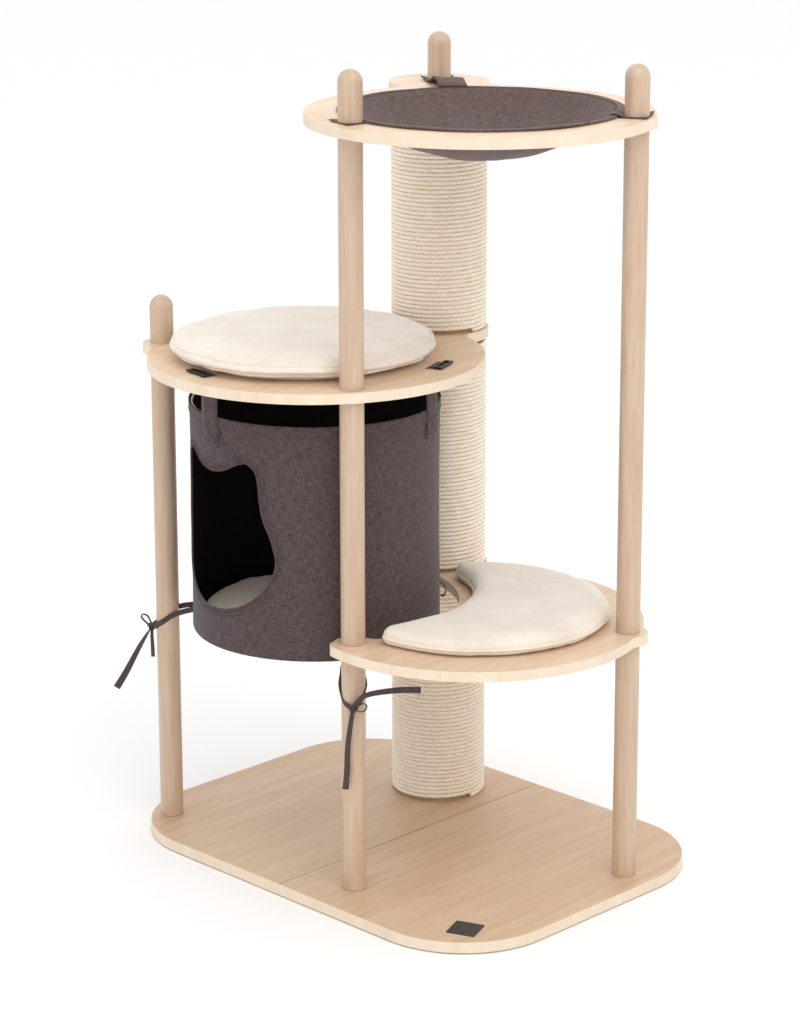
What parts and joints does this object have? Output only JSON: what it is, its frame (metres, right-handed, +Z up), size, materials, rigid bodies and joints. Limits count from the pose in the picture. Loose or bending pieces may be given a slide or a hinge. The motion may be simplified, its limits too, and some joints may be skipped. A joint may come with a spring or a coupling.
{
  "type": "cat tree",
  "caption": "Free-standing cat tree: rounded base, slim round posts, rope-wound column, disc shelves, hanging den with a cat-shaped door, hammock and cushions.",
  "frame": {"origin": "middle of the base's underside, on the plane of its feet", "axes": "+Z up, +X along the base's long side towards the post with the low shelf, -Y the front, where the den's door faces"},
  "size_m": [0.7677, 0.624, 1.217],
  "materials": {
    "oak_board": "matt light oak grain",
    "edge_strip": "matt pale edge strip",
    "beech": "satin lacquered round bar",
    "sisal_rope": "coarse twisted rope",
    "card_tube": "plain wound card",
    "plain_wood": "unfinished",
    "fibre_board": "pressed board",
    "zinc_steel": "zinc plated",
    "foot_pad": "matt",
    "label_patch": "blank, matt",
    "den_cloth": "linen-look weave",
    "hammock_cloth": "linen-look weave",
    "tie_ribbon": "folded ribbon of the den cloth",
    "slide_metal": "dark lacquer",
    "cream_plush": "short plush"
  },
  "bodies": {
    "frame": {"back_finial": "beech", "base_bolt_washers": "zinc_steel", "base_bolts": "zinc_steel", "base_dowels": "plain_wood", "base_edge_band_left": "edge_strip", "base_edge_band_right": "edge_strip", "base_feet": "foot_pad", "base_join_plates": "zinc_steel", "base_label": "label_patch", "base_panel_left": "oak_board", "base_panel_right": "oak_board", "base_plate_screws": "zinc_steel", "column_end_discs": "plain_wood", "column_rope_lower": "sisal_rope", "column_rope_middle": "sisal_rope", "column_rope_upper": "sisal_rope", "column_tube_lower": "card_tube", "column_tube_middle": "card_tube", "column_tube_upper": "card_tube", "den_floor": "den_cloth", "den_floor_board": "fibre_board", "den_hoop": "zinc_steel", "den_straps": "den_cloth", "den_wall": "den_cloth", "front_finial": "beech", "front_post_lower": "beech", "front_post_middle": "beech", "front_post_upper": "beech", "front_tie_band": "tie_ribbon", "front_tie_down_tail": "tie_ribbon", "front_tie_knot": "tie_ribbon", "front_tie_side_tail": "tie_ribbon", "hammock": "hammock_cloth", "left_finial": "beech", "left_post": "beech", "left_tie_band": "tie_ribbon", "left_tie_knot": "tie_ribbon", "left_tie_tail": "tie_ribbon", "low_shelf": "oak_board", "low_shelf_edge_band": "edge_strip", "middle_shelf": "oak_board", "middle_shelf_edge_band": "edge_strip", "post_inserts": "zinc_steel", "post_studs": "zinc_steel", "right_finial": "beech", "right_post_lower": "beech", "right_post_upper": "beech", "strap_slides": "slide_metal", "top_shelf": "oak_board", "top_shelf_edge_band": "edge_strip"},
    "round_cushion": {"round_cushion": "cream_plush"},
    "crescent_cushion": {"crescent_cushion": "cream_plush"},
    "den_pad": {"den_pad": "cream_plush"}
  },
  "joints": [
    {"name": "round_cushion_lift", "type": "slide", "parent": "frame", "child": "round_cushion", "axis": [0, 0, 1], "range_m": [0, 0.15]},
    {"name": "crescent_cushion_lift", "type": "slide", "parent": "frame", "child": "crescent_cushion", "axis": [0, 0, 1], "range_m": [0, 0.15]},
    {"name": "den_pad_lift", "type": "slide", "parent": "frame", "child": "den_pad", "axis": [0, 0, 1], "range_m": [0, 0.12]}
  ]
}
